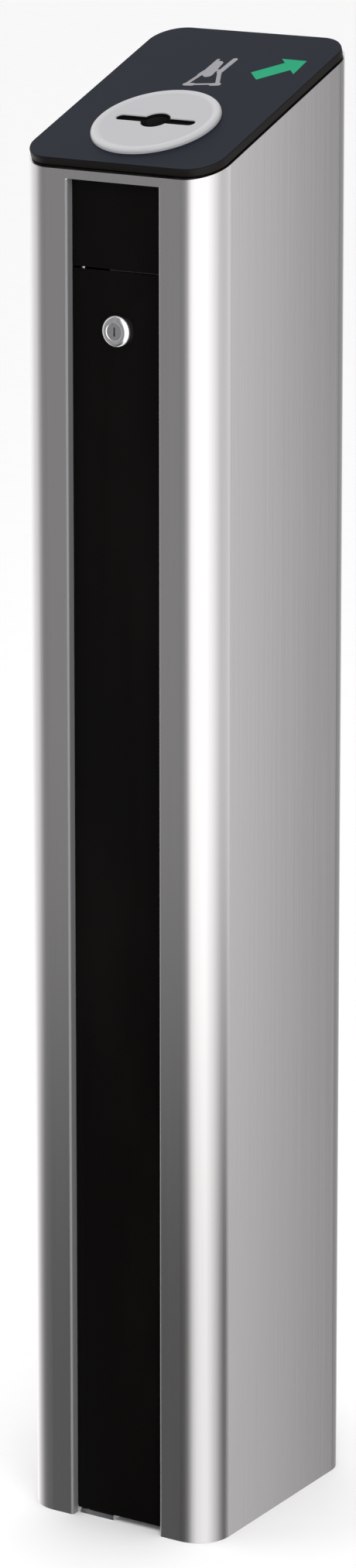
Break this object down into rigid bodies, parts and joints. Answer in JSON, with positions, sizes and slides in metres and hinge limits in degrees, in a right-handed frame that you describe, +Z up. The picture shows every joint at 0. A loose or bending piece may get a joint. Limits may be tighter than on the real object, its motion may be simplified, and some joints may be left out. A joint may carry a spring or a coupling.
{
  "type": "card collecting column",
  "caption": "Slim stainless column with a sloping top, round slot bezel, lockable black door, shuttered throat, drop duct and card bin.",
  "frame": {"origin": "centre of the footprint, on the ground", "axes": "+Z up, front faces -Y, +X to the right as seen from the front"},
  "size_m": [0.15, 0.185, 0.9999],
  "materials": {
    "brushed_stainless": "vertically brushed stainless sheet",
    "black_edge": "solid black laminate with a satin edge",
    "slate_foil": "fine-grained slate-coloured face foil",
    "bezel_satin": "satin light-grey moulding",
    "gloss_black": "glossy black lacquer on aluminium",
    "chrome": "polished chrome plating",
    "zinc_steel": "zinc-plated sheet steel",
    "steel_pin": "ground steel",
    "rubber_black": "black rubber",
    "black_plastic": "moulded black plastic",
    "grey_plastic": "moulded grey plastic",
    "circuit_board": "green solder resist",
    "copper_coil": "wound copper with yellow tape",
    "brass": "turned brass",
    "galvanised": "galvanised plate",
    "red_sheath": "red cable sheath",
    "grey_sheath": "grey cable sheath"
  },
  "bodies": {
    "root": {"column_shell": "brushed_stainless", "top_frame": "brushed_stainless", "base_plate": "galvanised", "top_gasket": "rubber_black", "top_plate": "black_edge", "face_foil": "slate_foil", "plate_studs": "zinc_steel", "plate_nuts": "zinc_steel", "slot_bezel": "bezel_satin", "bezel_neck": "black_plastic", "bezel_clamp_ring": "black_plastic", "light_ring_board": "circuit_board", "throat": "black_plastic", "m3_screws": "zinc_steel", "antenna_boards": "circuit_board", "reader_module": "black_plastic", "card_sensor": "black_plastic", "solenoid": "copper_coil", "flap_spring": "steel_pin", "drop_duct": "zinc_steel", "duct_brackets": "zinc_steel", "bin_shelf": "zinc_steel", "upper_panel": "gloss_black", "panel_bracket": "zinc_steel", "lower_bracket": "zinc_steel", "pivot_pins": "steel_pin", "door_buffers": "rubber_black", "lock_keeper": "zinc_steel", "mounting_plate": "zinc_steel", "plate_standoffs": "zinc_steel", "power_supply": "galvanised", "din_rail": "zinc_steel", "terminal_blocks": "grey_plastic", "control_board": "circuit_board", "board_standoffs": "brass", "board_components": "black_plastic", "cable_gland": "black_plastic", "gland_bracket": "zinc_steel", "earth_stud": "brass", "supply_cable": "black_plastic", "low_voltage_cable": "red_sheath", "reader_cable": "grey_sheath"},
    "door": {"door_plate": "gloss_black", "lock_housing": "chrome", "lock_nut": "zinc_steel"},
    "lock": {"lock_barrel": "steel_pin", "lock_cam": "zinc_steel", "cam_screw": "zinc_steel"},
    "bin": {"card_bin": "zinc_steel", "bin_handle": "steel_pin"},
    "flap": {"shutter_flap": "black_plastic", "flap_shaft": "steel_pin", "flap_crank": "zinc_steel"},
    "plunger": {"solenoid_plunger": "steel_pin", "plunger_collar": "black_plastic"}
  },
  "joints": [
    {"name": "door_hinge", "type": "hinge", "parent": "root", "child": "door", "pos_m": [-0.0274, -0.084, 0.4313], "axis": [0, 0, -1], "range_deg": [0, 95]},
    {"name": "lock_turn", "type": "hinge", "parent": "door", "child": "lock", "pos_m": [0, -0.0865, 0.8236], "axis": [0, -1, 0], "range_deg": [0, 90]},
    {"name": "bin_lift", "type": "slide", "parent": "root", "child": "bin", "axis": [0, 0, 1], "range_m": [0, 0.012]},
    {"name": "flap_swing", "type": "hinge", "parent": "root", "child": "flap", "pos_m": [0, -0.0093, 0.89393], "axis": [1, 0, 0], "range_deg": [0, 60]},
    {"name": "plunger_push", "type": "slide", "parent": "root", "child": "plunger", "axis": [0, 0.342, -0.9397], "range_m": [0, 0.01], "stiffness_N_per_m": 110, "springref_m": -0.0033}
  ],
  "couplings": [
    {"joint": "flap_swing", "follows": "plunger_push", "rad_per_m": 104.71}
  ]
}
